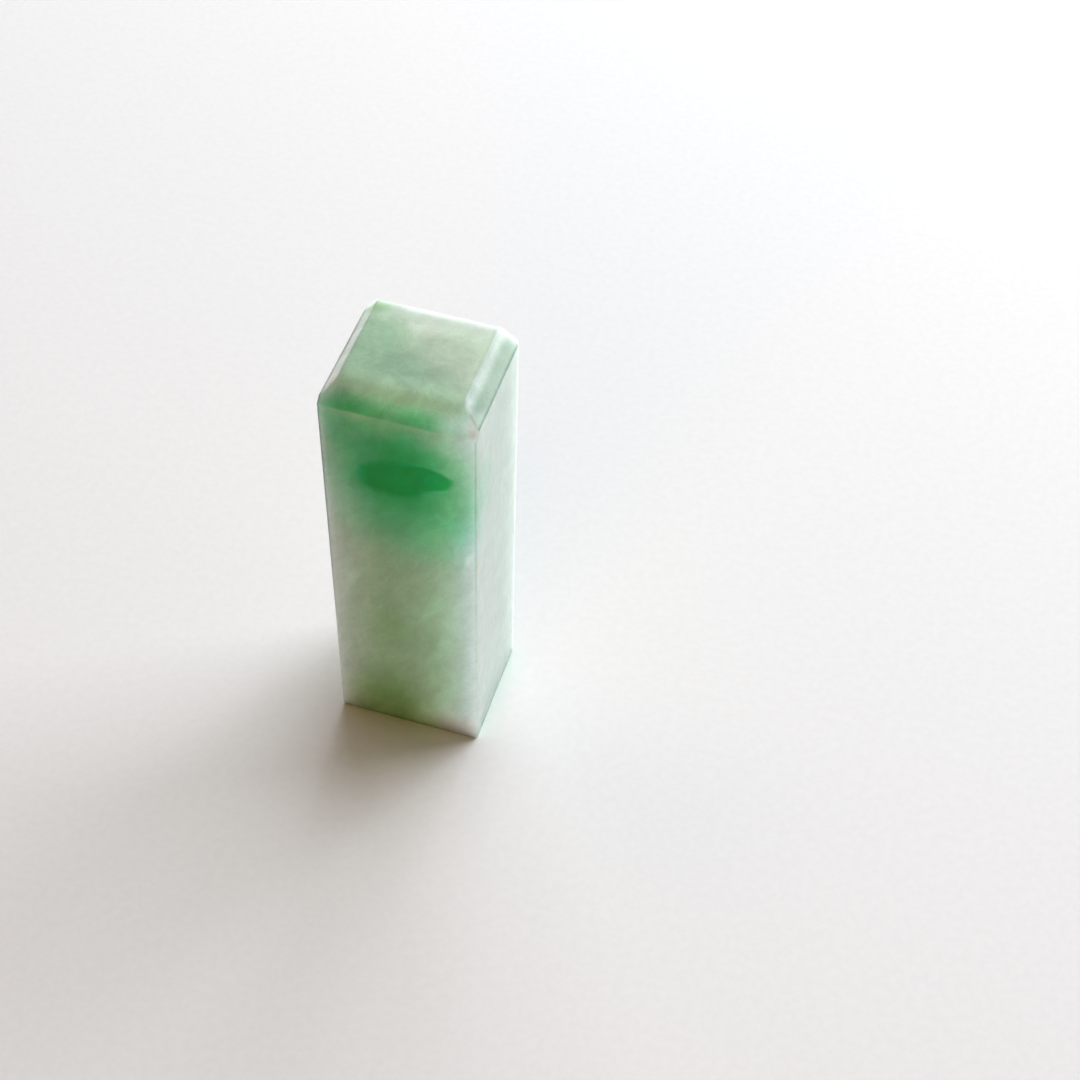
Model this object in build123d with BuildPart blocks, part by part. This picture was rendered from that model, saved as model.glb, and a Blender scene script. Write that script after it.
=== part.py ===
from build123d import *
import os

# A stone seal: one upright block of jade that stands on its carved seal face, with bevelled edges
# round its head. Millimetres. The origin is the middle of the seal face, +Z goes up the stone,
# and the front, the side with the widest bevel above it, looks along -Y.

# Block
stone_width = 12.0
stone_depth = 10.2
stone_height = 38.2

# Bevels of the head. A run is measured across the top, a drop down the side that the bevel meets.
front_bevel_run = 1.86
front_bevel_drop = 1.68
left_bevel_run = 1.08
left_bevel_drop = 1.32
right_bevel_run = 1.56
right_bevel_drop = 1.08

# Polished edges. The top runs softly into the front bevel. Its back edge has no bevel, only a
# rounding, which is wider than the other arrises' and the same as on the two upright back arrises.
front_bevel_blend_radius = 2.2
back_edge_radius = 0.4
back_arris_radius = 0.4
arris_radius = 0.2

# Seal face: a raised rim round a sunk ground, and on the ground raised lines that print
rim_width = 0.8
relief_depth = 0.5
fret_line_width = 0.36
fret_gap_width = 0.34

# Lozenge in the middle of the seal face, with a hollow middle of its own, and a solid bud in line
# with it towards the front and one towards the back
lozenge_width = 1.9
lozenge_depth = 4.6
lozenge_line_width = 0.42
bud_width = 0.9
bud_depth = 1.4

# Places that follow from the sizes above
ground_right = stone_width / 2 - rim_width
ground_back = stone_depth / 2 - rim_width
fret_pitch = fret_line_width + fret_gap_width
fret_inset = fret_gap_width + fret_line_width / 2
fret_spine = lozenge_width / 2 + fret_inset
lozenge_slope = lozenge_depth / lozenge_width
bud_middle = (lozenge_depth / 2 + ground_back) / 2


def fret_corners(near_x, far_x, near_y, far_y):
    """Corners of a square spiral that climbs on its near side and winds in by a pitch each turn."""
    corners = [(near_x, 0)]
    while far_x - near_x >= fret_pitch and far_y - near_y >= fret_pitch:
        corners.append((near_x, far_y))
        corners.append((far_x, far_y))
        corners.append((far_x, near_y))
        near_x = near_x + fret_pitch
        corners.append((near_x, near_y))
        near_y = near_y + fret_pitch
        far_x = far_x - fret_pitch
        far_y = far_y - fret_pitch
    return corners


with BuildPart() as seal_stone:
    with BuildSketch(Plane.XY):
        Rectangle(stone_width, stone_depth)
    extrude(amount=stone_height)

    # Each bevel lies on the edge between the top and one side
    bevels = [
        (Axis.Y, 0, front_bevel_run, front_bevel_drop),
        (Axis.X, 0, left_bevel_run, left_bevel_drop),
        (Axis.X, -1, right_bevel_run, right_bevel_drop),
    ]
    for across, end, run, drop in bevels:
        side = seal_stone.faces().sort_by(across)[end]
        top = seal_stone.faces().sort_by(Axis.Z)[-1]
        edge = top.edges().sort_by(across)[end]
        chamfer(edge, length=drop, length2=run, reference=side)

    # The wide roundings come first, then all the arrises are softened alike
    back_arrises = seal_stone.edges().filter_by(Axis.Z).group_by(Axis.Y)[-1]
    fillet(back_arrises, radius=back_arris_radius)
    top = seal_stone.faces().sort_by(Axis.Z)[-1]
    fillet(top.edges().sort_by(Axis.Y)[0], radius=front_bevel_blend_radius)
    top = seal_stone.faces().sort_by(Axis.Z)[-1]
    fillet(top.edges().sort_by(Axis.Y)[-1], radius=back_edge_radius)
    fillet(seal_stone.edges(), radius=arris_radius)

    # One quarter of the sunk ground, less the printing lines, is mirrored to the other three
    with BuildSketch(Plane.XY):
        Rectangle(ground_right, ground_back, align=(Align.MIN, Align.MIN))
        corners = fret_corners(
            fret_spine,
            ground_right - fret_inset,
            fret_pitch / 2,
            ground_back - fret_inset,
        )
        for start, stop in zip(corners, corners[1:]):
            middle = ((start[0] + stop[0]) / 2, (start[1] + stop[1]) / 2)
            along_x = abs(stop[0] - start[0])
            along_y = abs(stop[1] - start[1])
            with Locations(middle):
                Rectangle(
                    along_x + fret_line_width,
                    along_y + fret_line_width,
                    mode=Mode.SUBTRACT,
                )

        # A quarter of the lozenge, half of a bud, then a quarter of the lozenge's hollow middle
        tip_x = lozenge_width / 2
        hollow_x = tip_x - lozenge_line_width
        bud_front = (0, bud_middle - bud_depth / 2)
        bud_back = (0, bud_middle + bud_depth / 2)
        with BuildLine():
            Polyline((0, 0), (tip_x, 0), (0, tip_x * lozenge_slope), close=True)
        make_face(mode=Mode.SUBTRACT)
        with BuildLine():
            Polyline(bud_front, (bud_width / 2, bud_middle), bud_back, close=True)
        make_face(mode=Mode.SUBTRACT)
        with BuildLine():
            Polyline((0, 0), (hollow_x, 0), (0, hollow_x * lozenge_slope), close=True)
        make_face()

        mirror(about=Plane.YZ)
        mirror(about=Plane.XZ)
    extrude(amount=relief_depth, mode=Mode.SUBTRACT)

seal_stone.part.label = "seal_stone"

os.makedirs("parts", exist_ok=True)
export_step(seal_stone.part, "parts/seal_stone.step")
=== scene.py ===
import math

import bpy
from mathutils import Matrix, Vector


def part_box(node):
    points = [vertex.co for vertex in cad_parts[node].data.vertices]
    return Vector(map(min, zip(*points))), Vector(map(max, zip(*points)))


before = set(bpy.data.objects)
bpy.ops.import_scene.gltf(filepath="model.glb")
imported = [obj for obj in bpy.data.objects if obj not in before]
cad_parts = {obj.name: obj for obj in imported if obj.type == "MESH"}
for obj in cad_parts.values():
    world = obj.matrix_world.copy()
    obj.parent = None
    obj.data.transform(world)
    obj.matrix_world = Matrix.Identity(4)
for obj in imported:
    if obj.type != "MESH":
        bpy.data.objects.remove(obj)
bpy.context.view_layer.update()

# Lengths and places are in mm, angles in degrees and colours in linear RGB. A span gives the
# value at which a smooth change starts, and the value at which it is complete.
MM = 0.001
ORIGIN = (0, 0, 0)
WHITE = (1, 1, 1)
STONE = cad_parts["seal_stone"]
HIGH = Vector(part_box("seal_stone")[1]) / MM
FRONT = -HIGH.y
TOP = HIGH.z

# Sides of the stone: the axis that each lies across, the way it faces, and how far out it is
SIDES = {
    "left": ("X", -1, HIGH.x),
    "right": ("X", 1, HIGH.x),
    "front": ("Y", -1, HIGH.y),
    "back": ("Y", 1, HIGH.y),
    "top": ("Z", 1, HIGH.z),
}

# Bevels of the head: drop of the front one down its side, and run across the top and drop of the
# others
FRONT_BEVEL_DROP = 1.68
LEFT_BEVEL = (1.08, 1.32)
RIGHT_BEVEL = (1.56, 1.08)

# Camera
CAMERA_PLACE = (35.5, -93.9, 136.4)
CAMERA_YAW = 15.5
CAMERA_DOWN = 49.68
CAMERA_ROLL = 2.09
CAMERA_LENS = 65.1
SENSOR_WIDTH = 36.0
CLIP_START = 1
CLIP_END = 100_000

# Lamps, which all shine at the foot of the stone from one distance: azimuth from +X towards +Y,
# elevation, width, height, watts and colour
LAMP_DISTANCE = 700
DAYLIGHT = (0.95, 0.996, 1.05)
LAMPS = {
    "high_window": (97, 36, 535, 274, 1.62, DAYLIGHT),
    "wide_window": (78, 23, 597, 420, 2.79, DAYLIGHT),
    "right_window": (47, 20, 467, 207, 3.81, DAYLIGHT),
    "overhead": (69, 80, 265, 229, 1.22, (0.97, 0.98, 1.0)),
    "left_fill": (160, 55, 300, 220, 0.30, (1, 0.84, 0.62)),
    "front_fill": (268, 20, 400, 220, 1.12, (1, 0.49, 0.19)),
}
AMBIENT_COLOUR = (1, 0.66, 0.28)
AMBIENT_STRENGTH = 0.02

# How bright the white room is that the camera sees past the lit floor, and that reflections see
ROOM_BRIGHTNESS = 0.92
ROOM_REFLECTION = 0.30

# Floor of pale paper, which runs out into the room over a span of distances from the stone
FLOOR_REACH = 600
FADE_OF_FLOOR = (110, 380)
PAPER_TONES = (0.865, 0.895)
PAPER_ROUGHNESS = 0.9
PAPER_SPECULAR = 0.2

# Noises: size of the blotches, detail, roughness and distortion. Most of a noise's values lie in
# the middle span.
FIBRE_NOISE = (0.7, 4.0, 0.7)
VEIN_NOISE = (5.5, 5.0, 0.55, 0.8)
WISP_NOISE = (2.0, 5.0, 0.6, 0.4)
MOTTLE_NOISE = (0.8, 3.0, 0.6, 0.5)
GRAIN_NOISE = (0.13, 2.0, 0.6)
POLISH_NOISE = (3.0, 3.0)
BUMP_NOISE = (1.6, 2.0)
MIDDLE_SPAN = (0.3, 0.7)

# Warps, which bend the outlines of the jade's clouds: size of the noise, full swing and detail.
# They swing to both sides of the noise's mean.
NOISE_MEAN = (0.5, 0.5, 0.5)
ROUGH_WARP = (4.5, 1.6, 1.0)
FINE_WARP = (1.3, 0.7, 2.0)
BEVEL_WARP = (2.5, 0.2, 1.0)
LEAF_WARP = (1.8, 0.7, 3.0)
LEAF_EDGE_WARP = (0.5, 0.30, 4.0)

# Ground of the jade. Tints across the front by place along X, whose paler right part is partly
# painted glow of light that shines in through the right side, and behind them tints that run
# from green to pale along X and Y together.
FRONT_TINTS_AND_GLOW = [
    (-6.0, (0.455, 0.594, 0.546)),
    (-3.9, (0.415, 0.599, 0.482)),
    (-1.5, (0.347, 0.577, 0.393)),
    (0.7, (0.38, 0.636, 0.454)),
    (2.4, (0.445, 0.731, 0.567)),
    (3.9, (0.55, 0.816, 0.696)),
    (5.4, (0.58, 0.805, 0.765)),
]
FRONT_SKIN = (0.3, 1.7)
INNER_GREEN = (0.33, 0.508, 0.35)
INNER_PALE = (0.475, 0.575, 0.458)
INNER_SLANT = 0.75
INNER_SPAN = (-1.8, 3.2)
BACK_TINT = (0.38, 0.445, 0.375)
BACK_SKIN = (2.7, 0.5)
RIGHT_TINT = (0.495, 0.586, 0.518)
RIGHT_SKIN = (1.1, 0.4)
RIGHT_SKIN_PAST_FRONT = (0.0, 0.3)

# Side bevels: the depths under them that they tint, how far the tint blurs to either side of
# their edge with the top, their tints, and the painted shades of their outer parts, which come in
# between two shares of the run, counted from the side. The pale tint of the left bevel is mostly a
# painted reflection, and the shaded outer part of the right bevel is painted shade where the
# window's reflection misses it.
BEVEL_SKIN = (0.16, 0.02)
BEVEL_EDGE = 0.1
RIGHT_BEVEL_TINT = (0.49, 0.585, 0.515)
RIGHT_BEVEL_PAINTED_SHADE = (0.62, 0.70, 0.62)
RIGHT_BEVEL_OUTER = (0.78, 0.42)
LEFT_BEVEL_TINT_AND_REFLECTION = (0.73, 0.865, 0.79)
LEFT_BEVEL_PAINTED_SHADE = (0.48, 0.54, 0.49)
LEFT_BEVEL_OUTER = (0.42, 0.16)

# A painted highlight makes the left bevel brighter towards the front, and painted shade makes it
# dimmer towards the back, by place along Y
LEFT_BEVEL_HIGHLIGHT_SPAN = (-1.8, -4.4)
LEFT_BEVEL_HIGHLIGHT = (1.0, 1.28)
LEFT_BEVEL_BACK_SHADE_SPAN = (4.8, 0.5)
LEFT_BEVEL_BACK_SHADE = (0.80, 1.0)

# Painted shade along the back, where the lamps from behind light the stone strongly, and up the
# left front arris, where its rim catches light, a painted glow round the foot, and the spans of
# the depths and heights where they come in
BACK_PAINTED_SHADE = (0.76, 0.775, 0.75)
BACK_PAINTED_SHADE_SPAN = (1.9, 0.3)
LEFT_ARRIS_PAINTED_SHADE = (0.30, 0.38, 0.34)
LEFT_ARRIS_DEPTH = (0.30, 0.08)
LEFT_ARRIS_PAST_FRONT = (0.9, 0.3)
LEFT_ARRIS_HEIGHT = (10.0, 24.0)
FOOT_GLOW = (0.88, 1.34, 1.12)
FOOT_GLOW_HEIGHT = (1.5, 0.1)

# Lines along all arrises, fainter on the top and towards the foot
ARRIS_SHADE = (0.45, 0.56, 0.51)
ARRIS_REACH = 0.22
ARRIS_TOP_SPAN = (0.02, 0.3)
ARRIS_TOP_STRENGTH = (0.25, 0.95)
ARRIS_HEIGHT = (4.0, 27.0)
ARRIS_FOOT_STRENGTH = (0.30, 1.0)

# Veins of green on the back and the left side
HIDDEN_GREEN = (0.42, 0.80, 0.50)
VEIN_SHIFT = (3.0, 7.0, 1.0)
VEIN_STRETCH = (1.0, 1.0, 2.6)
VEIN_TILT = 24
VEIN_SPAN = (0.47, 0.72)
VEINS_UNDER_BACK = (0.8, 0.1)
VEINS_UNDER_LEFT = (0.6, 0.05)
VEINS_PAST_FRONT = (0.1, 1.1)
VEINS_BELOW_TOP = (1.0, 2.7)

# Wisps of white and grey, stronger on the head and calmer on the right side
WISP_STRETCH = (1.0, 1.0, 2.4)
WISP_TILT = 28
WISP_SPAN = (0.28, 0.72)
WISP_SWING = (-0.5, 0.5)
WISP_HEAD_SPAN = (2.0, 0.6)
WISP_CONTRAST = (0.14, 0.21)
WISP_RIGHT_SPAN = (0.6, 0.1)
WISP_RIGHT_CALM = (1.0, 0.30)

# Mottling and crystalline grain
MOTTLE_TONES = (0.95, 1.05)
GRAIN_SPAN = (0.25, 0.75)
GRAIN_TONES = (0.955, 1.045)

# What a density of 1 of the green lets through of a colour
GREEN_FILTER = (0.10, 0.775, 0.35)

# Clouds of green: centre, radii, tilt about Y, softness of the edge and density
GREEN_CLOUDS = [
    ((0.6, FRONT, 28.8), (4.2, 3.4, 4.8), 0, 0.90, 0.60),
    ((-0.2, FRONT, 30.8), (3.3, 2.4, 2.7), 0, 0.60, 0.50),
    ((-3.2, -5.0, 33.9), (1.9, 1.8, 1.5), 0, 0.70, 0.34),
    ((-1.2, FRONT, 26.6), (1.4, 1.2, 2.6), 0, 0.60, 0.05),
    ((1.0, FRONT, 33.6), (2.2, 1.6, 1.5), 0, 0.70, 0.52),
    ((-5.5, FRONT, 33.0), (1.6, 1.6, 3.6), 0, 0.70, 0.13),
    ((-1.6, FRONT, 35.9), (4.2, 1.4, 1.0), 0, 0.70, 0.15),
    ((-5.0, FRONT, 35.7), (2.2, 1.4, 1.2), 0, 0.70, 0.12),
]
EMERALD_LEAF = [
    ((-0.3, FRONT, 30.6), (2.65, 1.6, 1.7), -14, 0.26, 1.0),
    ((1.9, FRONT, 31.35), (2.2, 1.3, 1.1), -8, 0.19, 1.0),
]
LEAF_DENSITY = 1.12

# Clouds that lie on the front bevel alone, and end at its lower edge over this span
BEVEL_CLOUDS = [
    ((-3.6, -4.8, 36.6), (1.9, 1.0, 0.9), 0, 0.60, 0.32),
    ((1.4, -4.8, 36.6), (1.4, 0.9, 0.8), 0, 0.60, 0.18),
    ((-0.8, -4.8, 36.6), (4.8, 1.1, 1.1), 0, 0.60, 0.15),
]
BEVEL_CLOUD_SPAN = (FRONT_BEVEL_DROP + 0.10, FRONT_BEVEL_DROP - 0.06)

# Other stains, which multiply what they cover, some of them painted light or shade as marked:
# colour, centre, radii, tilt, softness, strength
STAINS_AND_PAINTED_LIGHT = [
    ((0.91, 0.98, 0.96), (4.6, FRONT, 34.2), (2.2, 1.3, 2.2), 0, 0.60, 1.0),
    ((1.12, 1.0, 1.03), (3.0, FRONT, 28.8), (2.6, 1.4, 1.2), 0, 0.60, 1.0),
    ((1.06, 0.97, 0.90), (-3.4, FRONT, 36.9), (2.2, 1.0, 0.7), 0, 0.50, 1.0),
    ((0.91, 1.01, 0.93), (-2.6, FRONT, 35.8), (4.0, 1.2, 0.9), 0, 0.60, 1.0),
    ((0.64, 0.82, 0.50), (-1.6, FRONT, 1.2), (3.0, 3.0, 4.6), 0, 0.70, 1.0),
    ((0.88, 0.96, 0.80), (-1.5, FRONT, 12.9), (1.6, 1.8, 2.0), 0, 0.80, 1.0),
    ((0.92, 0.90, 0.84), (-5.4, FRONT, 33.2), (2.0, 1.8, 4.4), 0, 0.60, 1.0),
    ((0.82, 0.89, 0.76), (5.7, FRONT, 31.5), (1.8, 1.4, 4.0), 0, 0.60, 1.0),
    # Painted light on the front at the foot, to the right, lifting the shade where the stone meets
    # the floor
    ((1.25, 1.26, 1.24), (3.8, FRONT, 0.6), (3.4, 2.2, 2.8), 0, 0.60, 1.0),
    ((0.48, 1.1, 1.62), (0.4, FRONT, 30.9), (3.1, 1.5, 1.35), -10, 0.28, 1.0),
    # Painted light over the front bevel, as if light shone through the head of the stone
    ((1.42, 1.38, 1.48), (0.9, -3.7, 37.9), (5.2, 1.4, 1.3), 0, 0.55, 1.0),
    ((1.15, 1.06, 1.12), (-0.7, 2.6, TOP), (1.3, 0.9, 1.2), 0, 0.60, 1.0),
    ((0.94, 0.95, 0.95), (-0.6, -1.2, TOP), (2.2, 1.0, 1.4), 0, 0.60, 1.0),
    ((0.56, 0.79, 0.49), (-4.8, 4.9, TOP), (1.6, 1.2, 2.4), 0, 0.60, 1.0),
    ((1.25, 1.16, 1.22), (5.45, FRONT, 23.3), (0.2, 0.5, 0.9), 25, 0.70, 1.0),
    ((0.90, 0.93, 0.93), (5.0, FRONT, 25.4), (1.2, 1.0, 2.2), 0, 0.60, 1.0),
    # Painted shade that dims the front end of the right bevel's inner part, where light falls
    # strongly
    ((0.86, 0.92, 0.91), (4.7, -3.2, 38.1), (0.7, 1.4, 0.6), 0, 0.60, 1.0),
    ((1.14, 1.12, 1.14), (-5.4, FRONT, 17.8), (1.3, 1.2, 3.0), 10, 0.70, 1.0),
]

# Surface of the jade: a polish of uneven roughness, duller on the arrises, that lies over faint
# waves, and light that scatters underneath
POLISH = (0.14, 0.24)
WORN_REACH = 0.34
WORN_ROUGHNESS = 0.12
JADE_SPECULAR = 0.15
SCATTER_WEIGHT = 1.0
SCATTER_RADII = (0.9, 0.9, 0.9)
SCATTER_SCALE = 8
BUMP_HEIGHT = 0.02
BUMP_STRENGTH = 0.6


def make_camera():
    data = bpy.data.cameras.new("camera")
    data.sensor_width = SENSOR_WIDTH
    data.lens = CAMERA_LENS
    data.clip_start = CLIP_START * MM
    data.clip_end = CLIP_END * MM
    camera = bpy.data.objects.new("camera", data)
    bpy.context.scene.collection.objects.link(camera)
    place = Matrix.Translation(Vector(CAMERA_PLACE) * MM)
    yaw = Matrix.Rotation(math.radians(CAMERA_YAW), 4, "Z")
    pitch = Matrix.Rotation(math.radians(90 - CAMERA_DOWN), 4, "X")
    roll = Matrix.Rotation(math.radians(CAMERA_ROLL), 4, "Z")
    camera.matrix_world = place @ yaw @ pitch @ roll
    bpy.context.scene.camera = camera


def area_lamp(name, azimuth, elevation, wide, high, power, colour):
    """A rectangular lamp, aimed at the foot of the stone, that the camera doesn't see."""
    data = bpy.data.lights.new(name, "AREA")
    data.shape = "RECTANGLE"
    data.size = wide * MM
    data.size_y = high * MM
    data.energy = power
    data.color = colour
    lamp = bpy.data.objects.new(name, data)
    bpy.context.scene.collection.objects.link(lamp)

    across = math.radians(azimuth)
    up = math.radians(elevation)
    direction = Vector((
        math.cos(across) * math.cos(up),
        math.sin(across) * math.cos(up),
        math.sin(up),
    ))
    turn = (-direction).to_track_quat("-Z", "Y").to_matrix().to_4x4()
    lamp.matrix_world = Matrix.Translation(direction * LAMP_DISTANCE * MM) @ turn
    lamp.visible_camera = False


def make_world():
    """A faint warm ambient light, in a white room that only the camera and reflections see."""
    world = bpy.data.worlds.new("world")
    world.use_nodes = True
    tree = world.node_tree
    ambient = tree.nodes["Background"]
    ambient.inputs["Color"].default_value = (*AMBIENT_COLOUR, 1)
    ambient.inputs["Strength"].default_value = AMBIENT_STRENGTH

    path = tree.nodes.new("ShaderNodeLightPath")
    rooms = {"Is Glossy Ray": ROOM_REFLECTION, "Is Camera Ray": ROOM_BRIGHTNESS}
    surroundings = ambient.outputs[0]
    for ray, painted_light in rooms.items():
        room = tree.nodes.new("ShaderNodeBackground")
        room.inputs["Color"].default_value = (*WHITE, 1)
        room.inputs["Strength"].default_value = painted_light
        mix = tree.nodes.new("ShaderNodeMixShader")
        tree.links.new(path.outputs[ray], mix.inputs[0])
        tree.links.new(surroundings, mix.inputs[1])
        tree.links.new(room.outputs[0], mix.inputs[2])
        surroundings = mix.outputs[0]
    tree.links.new(surroundings, tree.nodes["World Output"].inputs["Surface"])
    bpy.context.scene.world = world


class Painter:
    """Adds nodes to a new material and hands back their output sockets."""

    def __init__(self, name):
        self.material = bpy.data.materials.new(name)
        self.material.use_nodes = True
        self.tree = self.material.node_tree
        self.shader = self.tree.nodes["Principled BSDF"]
        object_place = self.new("ShaderNodeTexCoord").outputs["Object"]
        self.place = self.scale(object_place, 1 / MM)

    def new(self, kind):
        return self.tree.nodes.new(kind)

    def put(self, socket, value):
        """Links an input to another node's output, or sets it to a constant."""
        if isinstance(value, bpy.types.NodeSocket):
            self.tree.links.new(value, socket)
        elif socket.type == "RGBA":
            socket.default_value = (*value, 1)
        else:
            socket.default_value = value

    def math(self, operation, *values, clamp=False):
        node = self.new("ShaderNodeMath")
        node.operation = operation
        node.use_clamp = clamp
        for socket, value in zip(node.inputs, values):
            self.put(socket, value)
        return node.outputs[0]

    def product(self, *values):
        total = values[0]
        for value in values[1:]:
            total = self.math("MULTIPLY", total, value)
        return total

    def vector(self, operation, *values):
        node = self.new("ShaderNodeVectorMath")
        node.operation = operation
        for socket, value in zip(node.inputs, values):
            self.put(socket, value)
        return node.outputs["Value" if operation == "LENGTH" else "Vector"]

    def scale(self, vector, factor):
        """A vector or a colour times a number."""
        node = self.new("ShaderNodeVectorMath")
        node.operation = "SCALE"
        self.put(node.inputs[0], vector)
        self.put(node.inputs["Scale"], factor)
        return node.outputs["Vector"]

    def axes(self, place=None):
        """X, Y and Z of a place, or of the point itself."""
        node = self.new("ShaderNodeSeparateXYZ")
        self.put(node.inputs[0], place or self.place)
        return node.outputs

    def smooth(self, value, start, stop, low=0.0, high=1.0):
        """Runs smoothly from low, where value is at start, to high, where it is at stop."""
        node = self.new("ShaderNodeMapRange")
        node.interpolation_type = "SMOOTHSTEP"
        for socket, number in zip(node.inputs, (value, start, stop, low, high)):
            self.put(socket, number)
        return node.outputs["Result"]

    def noise(self, size, detail, roughness=0.5, distortion=0.0, place=None, colour=False):
        """Noise between 0 and 1, or a colour of it, with blotches of about the given size."""
        node = self.new("ShaderNodeTexNoise")
        self.put(node.inputs["Vector"], place or self.place)
        node.inputs["Scale"].default_value = 1 / size
        node.inputs["Detail"].default_value = detail
        node.inputs["Roughness"].default_value = roughness
        node.inputs["Distortion"].default_value = distortion
        return node.outputs["Color" if colour else "Fac"]

    def mix(self, factor, first, second, blend="MIX"):
        """Runs from the first colour to the second, or to both blended, as the factor does to 1."""
        node = self.new("ShaderNodeMix")
        node.data_type = "RGBA"
        node.blend_type = blend
        # Other sockets of the same names, for numbers and vectors, stand before those for colours
        self.put(node.inputs[0], factor)
        self.put(node.inputs[6], first)
        self.put(node.inputs[7], second)
        return node.outputs[2]

    def multiply(self, mask, colour, filter_colour):
        """Multiplies the colour by the filter's, in full only where the mask is 1."""
        return self.mix(mask, colour, filter_colour, "MULTIPLY")

    def warp(self, place, size, swing, detail):
        """Shifts a place to and fro along each axis, with noise of the given size."""
        noise = self.noise(size, detail, place=place, colour=True)
        shift = self.vector("SUBTRACT", noise, NOISE_MEAN)
        return self.vector("ADD", place, self.scale(shift, swing))

    def mapped(self, place, centre, radii, tilt):
        """A place as seen from the centre, with the radii as units, in axes tilted about Y."""
        node = self.new("ShaderNodeMapping")
        node.vector_type = "TEXTURE"
        self.put(node.inputs["Vector"], place)
        node.inputs["Location"].default_value = centre
        node.inputs["Rotation"].default_value = (0, math.radians(tilt), 0)
        node.inputs["Scale"].default_value = radii
        return node.outputs["Vector"]

    def cloud(self, place, centre, radii, tilt, softness, strength):
        """A soft ellipsoid: strength in its middle, 0 outside."""
        distance = self.vector("LENGTH", self.mapped(place, centre, radii, tilt))
        return self.smooth(distance, 1 + softness, 1 - softness, 0.0, strength)

    def density(self, place, clouds):
        """Sum of all the clouds of a table."""
        total = 0.0
        for cloud in clouds:
            total = self.math("ADD", total, self.cloud(place, *cloud))
        return total

    def ramp(self, value, stops):
        """Colour that runs through stops, each a value and a colour, in rising order."""
        first = stops[0][0]
        last = stops[-1][0]
        share = self.math("DIVIDE", self.math("SUBTRACT", value, first), last - first)
        node = self.new("ShaderNodeValToRGB")
        self.put(node.inputs[0], share)
        elements = node.color_ramp.elements
        while len(elements) < len(stops):
            elements.new(0.5)
        for element, (number, colour) in zip(elements, stops):
            element.position = (number - first) / (last - first)
            element.color = (*colour, 1)
        return node.outputs[0]


def depth(painter, side, place=None):
    """Distance inwards from a side of the stone."""
    axis, way, reach = SIDES[side]
    outwards = painter.product(painter.axes(place)[axis], way)
    return painter.math("SUBTRACT", reach, outwards)


def bevel_depth(painter, side, run, drop):
    """Distance inwards from the plane of the bevel between a side and the top."""
    span = math.hypot(run, drop)
    from_side = painter.product(depth(painter, side), drop / span)
    from_top = painter.product(depth(painter, "top"), run / span)
    return painter.math("SUBTRACT", painter.math("ADD", from_side, from_top), run * drop / span)


def arris_mask(painter, reach):
    """1 along the edges of the stone, where two faces are near, and 0 from the reach off them."""
    distances = [depth(painter, side) for side in SIDES]
    distances.append(bevel_depth(painter, "right", *RIGHT_BEVEL))
    distances.append(bevel_depth(painter, "left", *LEFT_BEVEL))
    faces_near = 0.0
    for distance in distances:
        faces_near = painter.math("ADD", faces_near, painter.smooth(distance, reach, 0.0))
    return painter.math("SUBTRACT", faces_near, 1.0, clamp=True)


def ground_tint(painter, place):
    """The jade without its clouds: banded across the front, its pale right partly painted glow, and
    paler to the right and the back.
    """
    axes = painter.axes(place)
    front = painter.ramp(axes["X"], FRONT_TINTS_AND_GLOW)
    aslant = painter.math("ADD", painter.product(axes["X"], INNER_SLANT), axes["Y"])
    inner = painter.mix(painter.smooth(aslant, *INNER_SPAN), INNER_GREEN, INNER_PALE)
    near_back = painter.smooth(depth(painter, "back", place), *BACK_SKIN)
    inner = painter.mix(near_back, inner, BACK_TINT)
    behind_front = painter.smooth(depth(painter, "front"), *FRONT_SKIN)
    colour = painter.mix(behind_front, front, inner)
    on_right = painter.product(
        painter.smooth(depth(painter, "right"), *RIGHT_SKIN),
        painter.smooth(depth(painter, "front"), *RIGHT_SKIN_PAST_FRONT),
    )
    return painter.mix(on_right, colour, RIGHT_TINT)


def green_sides(painter, colour, place):
    """Veins of green on the back and the left side, which the photo doesn't show."""
    on_back = painter.smooth(depth(painter, "back"), *VEINS_UNDER_BACK)
    on_left = painter.product(
        painter.smooth(depth(painter, "left"), *VEINS_UNDER_LEFT),
        painter.smooth(depth(painter, "front"), *VEINS_PAST_FRONT),
    )
    below_top = painter.smooth(depth(painter, "top"), *VEINS_BELOW_TOP)
    vein_place = painter.mapped(place, VEIN_SHIFT, VEIN_STRETCH, VEIN_TILT)
    veins = painter.smooth(painter.noise(*VEIN_NOISE, place=vein_place), *VEIN_SPAN)
    where = painter.product(painter.math("MAXIMUM", on_back, on_left), below_top, veins)
    return painter.multiply(where, colour, HIDDEN_GREEN)


def side_bevel(painter, colour, side, bevel, tint, shade, outer):
    """Tints the bevel above a side, and paints shade on its outer part, whose edge waves a little.
    """
    run, drop = bevel
    on_bevel = painter.product(
        painter.smooth(bevel_depth(painter, side, run, drop), *BEVEL_SKIN),
        painter.smooth(depth(painter, side), run + BEVEL_EDGE, run - BEVEL_EDGE),
    )
    colour = painter.mix(on_bevel, colour, tint)
    waving = depth(painter, side, painter.warp(painter.place, *BEVEL_WARP))
    start, full = outer
    on_outer = painter.product(on_bevel, painter.smooth(waving, start * run, full * run))
    return painter.multiply(on_outer, colour, shade)


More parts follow.
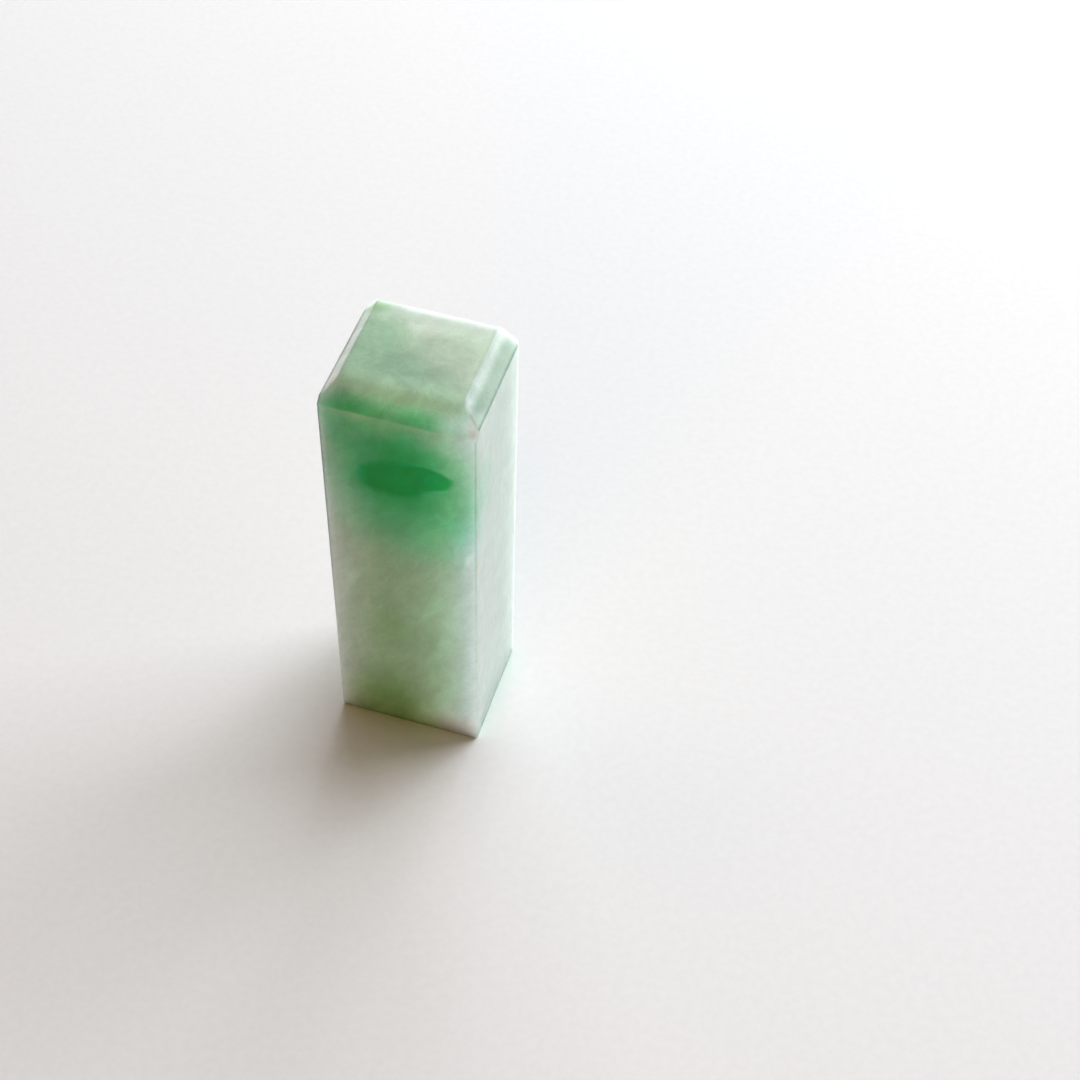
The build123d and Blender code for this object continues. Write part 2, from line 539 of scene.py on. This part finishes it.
def side_bevels(painter, colour):
    """The left bevel is pale, mostly painted reflection, with a painted highlight to the front and
    painted shade to the back, and the right one is close to the right side.
    """
    along = painter.axes()["Y"]
    painted_light = painter.product(
        painter.smooth(along, *LEFT_BEVEL_HIGHLIGHT_SPAN, *LEFT_BEVEL_HIGHLIGHT),
        painter.smooth(along, *LEFT_BEVEL_BACK_SHADE_SPAN, *LEFT_BEVEL_BACK_SHADE),
    )
    left_tint_and_light = painter.scale(LEFT_BEVEL_TINT_AND_REFLECTION, painted_light)
    colour = side_bevel(
        painter, colour, "left", LEFT_BEVEL, left_tint_and_light, LEFT_BEVEL_PAINTED_SHADE, LEFT_BEVEL_OUTER
    )
    return side_bevel(
        painter, colour, "right", RIGHT_BEVEL, RIGHT_BEVEL_TINT, RIGHT_BEVEL_PAINTED_SHADE,
        RIGHT_BEVEL_OUTER
    )


def paint_shade_and_foot_glow(painter, colour):
    """Painted shade along the back and up the left front arris, and a painted glow, greener and
    paler, at the foot.
    """
    height = painter.axes()["Z"]
    near_back = painter.smooth(depth(painter, "back"), *BACK_PAINTED_SHADE_SPAN)
    colour = painter.multiply(near_back, colour, BACK_PAINTED_SHADE)
    painted_arris_shade = painter.product(
        painter.smooth(depth(painter, "left"), *LEFT_ARRIS_DEPTH),
        painter.smooth(depth(painter, "front"), *LEFT_ARRIS_PAST_FRONT),
        painter.smooth(height, *LEFT_ARRIS_HEIGHT),
    )
    colour = painter.multiply(painted_arris_shade, colour, LEFT_ARRIS_PAINTED_SHADE)
    # Painted glow at the foot, greener and paler, where the stone meets the floor
    return painter.multiply(painter.smooth(height, *FOOT_GLOW_HEIGHT), colour, FOOT_GLOW)


def wisps_and_mottle(painter, colour, place):
    """Cotton-like wisps that run through the jade at a slant, and smaller mottling in them."""
    wisp_place = painter.mapped(place, ORIGIN, WISP_STRETCH, WISP_TILT)
    wisps = painter.noise(*WISP_NOISE, place=wisp_place)
    shade = painter.product(
        painter.smooth(depth(painter, "top"), *WISP_HEAD_SPAN, *WISP_CONTRAST),
        painter.smooth(depth(painter, "right"), *WISP_RIGHT_SPAN, *WISP_RIGHT_CALM),
        painter.smooth(wisps, *WISP_SPAN, *WISP_SWING),
    )
    colour = painter.scale(colour, painter.math("ADD", 1.0, shade))
    mottle = painter.noise(*MOTTLE_NOISE, place=wisp_place)
    return painter.scale(colour, painter.smooth(mottle, *MIDDLE_SPAN, *MOTTLE_TONES))


def green_clouds(painter, colour, place):
    """The leaf and the clouds of green. The denser they are, the less of a colour they pass."""
    leaf_place = painter.warp(painter.place, *LEAF_WARP)
    leaf_place = painter.warp(leaf_place, *LEAF_EDGE_WARP)
    leaf = painter.math("MINIMUM", painter.density(leaf_place, EMERALD_LEAF), 1.0)
    leaf = painter.product(leaf, LEAF_DENSITY)
    green = painter.math("ADD", painter.density(place, GREEN_CLOUDS), leaf)

    on_bevel = painter.smooth(depth(painter, "top"), *BEVEL_CLOUD_SPAN)
    bevel_green = painter.product(painter.density(place, BEVEL_CLOUDS), on_bevel)
    green = painter.math("ADD", green, bevel_green)

    passed = painter.new("ShaderNodeCombineXYZ")
    for socket, share in zip(passed.inputs, GREEN_FILTER):
        painter.put(socket, painter.math("POWER", share, green))
    return painter.multiply(1.0, colour, passed.outputs[0])


def arris_lines(painter, colour):
    """Thin darker lines along the edges."""
    line = painter.product(
        arris_mask(painter, ARRIS_REACH),
        painter.smooth(depth(painter, "top"), *ARRIS_TOP_SPAN, *ARRIS_TOP_STRENGTH),
        painter.smooth(painter.axes()["Z"], *ARRIS_HEIGHT, *ARRIS_FOOT_STRENGTH),
    )
    return painter.multiply(line, colour, ARRIS_SHADE)


def jade_colour(painter):
    """The ground with its bevels and its painted shade and glow at the edges, then stains and
    painted light, wisps and green, and fine marks last.
    """
    rough_place = painter.warp(painter.place, *ROUGH_WARP)
    fine_place = painter.warp(rough_place, *FINE_WARP)
    colour = ground_tint(painter, fine_place)
    colour = green_sides(painter, colour, rough_place)
    colour = side_bevels(painter, colour)
    colour = paint_shade_and_foot_glow(painter, colour)
    for filter_colour, *cloud in STAINS_AND_PAINTED_LIGHT:
        colour = painter.multiply(painter.cloud(fine_place, *cloud), colour, filter_colour)
    colour = wisps_and_mottle(painter, colour, fine_place)
    colour = green_clouds(painter, colour, fine_place)
    colour = arris_lines(painter, colour)
    grain = painter.smooth(painter.noise(*GRAIN_NOISE), *GRAIN_SPAN, *GRAIN_TONES)
    return painter.vector("MINIMUM", painter.scale(colour, grain), WHITE)


def jade():
    """Polished jade, translucent under its colour."""
    painter = Painter("polished_jade")
    shader = painter.shader
    painter.put(shader.inputs["Base Color"], jade_colour(painter))
    shader.inputs["Specular IOR Level"].default_value = JADE_SPECULAR
    shader.inputs["Subsurface Weight"].default_value = SCATTER_WEIGHT
    shader.inputs["Subsurface Radius"].default_value = SCATTER_RADII
    shader.inputs["Subsurface Scale"].default_value = SCATTER_SCALE * MM

    polish = painter.smooth(painter.noise(*POLISH_NOISE), *MIDDLE_SPAN, *POLISH)
    worn = painter.product(arris_mask(painter, WORN_REACH), WORN_ROUGHNESS)
    painter.put(shader.inputs["Roughness"], painter.math("ADD", polish, worn))

    bump = painter.new("ShaderNodeBump")
    bump.inputs["Distance"].default_value = BUMP_HEIGHT * MM
    bump.inputs["Strength"].default_value = BUMP_STRENGTH
    painter.put(bump.inputs["Height"], painter.noise(*BUMP_NOISE))
    painter.put(shader.inputs["Normal"], bump.outputs["Normal"])
    return painter.material


def paper():
    """Pale paper, which the camera sees run out into the white room far from the stone."""
    painter = Painter("paper")
    tone = painter.smooth(painter.noise(*FIBRE_NOISE), *MIDDLE_SPAN, *PAPER_TONES)
    painter.put(painter.shader.inputs["Base Color"], painter.scale(WHITE, tone))
    painter.shader.inputs["Roughness"].default_value = PAPER_ROUGHNESS
    painter.shader.inputs["Specular IOR Level"].default_value = PAPER_SPECULAR

    far = painter.smooth(painter.vector("LENGTH", painter.place), *FADE_OF_FLOOR)
    to_camera = painter.new("ShaderNodeLightPath").outputs["Is Camera Ray"]
    room = painter.new("ShaderNodeEmission")
    room.inputs["Color"].default_value = (*WHITE, 1)
    room.inputs["Strength"].default_value = ROOM_BRIGHTNESS
    mix = painter.new("ShaderNodeMixShader")
    painter.put(mix.inputs[0], painter.product(far, to_camera))
    painter.put(mix.inputs[1], painter.shader.outputs[0])
    painter.put(mix.inputs[2], room.outputs[0])
    painter.put(painter.tree.nodes["Material Output"].inputs["Surface"], mix.outputs[0])
    return painter.material


def make_floor():
    reach = FLOOR_REACH * MM
    corners = [(-reach, -reach, 0), (reach, -reach, 0), (reach, reach, 0), (-reach, reach, 0)]
    mesh = bpy.data.meshes.new("floor")
    mesh.from_pydata(corners, [], [(0, 1, 2, 3)])
    mesh.materials.append(paper())
    floor = bpy.data.objects.new("floor", mesh)
    bpy.context.scene.collection.objects.link(floor)


make_camera()
for name, settings in LAMPS.items():
    area_lamp(name, *settings)
make_world()
make_floor()
STONE.data.materials.clear()
STONE.data.materials.append(jade())
bpy.context.scene.view_settings.view_transform = "Standard"
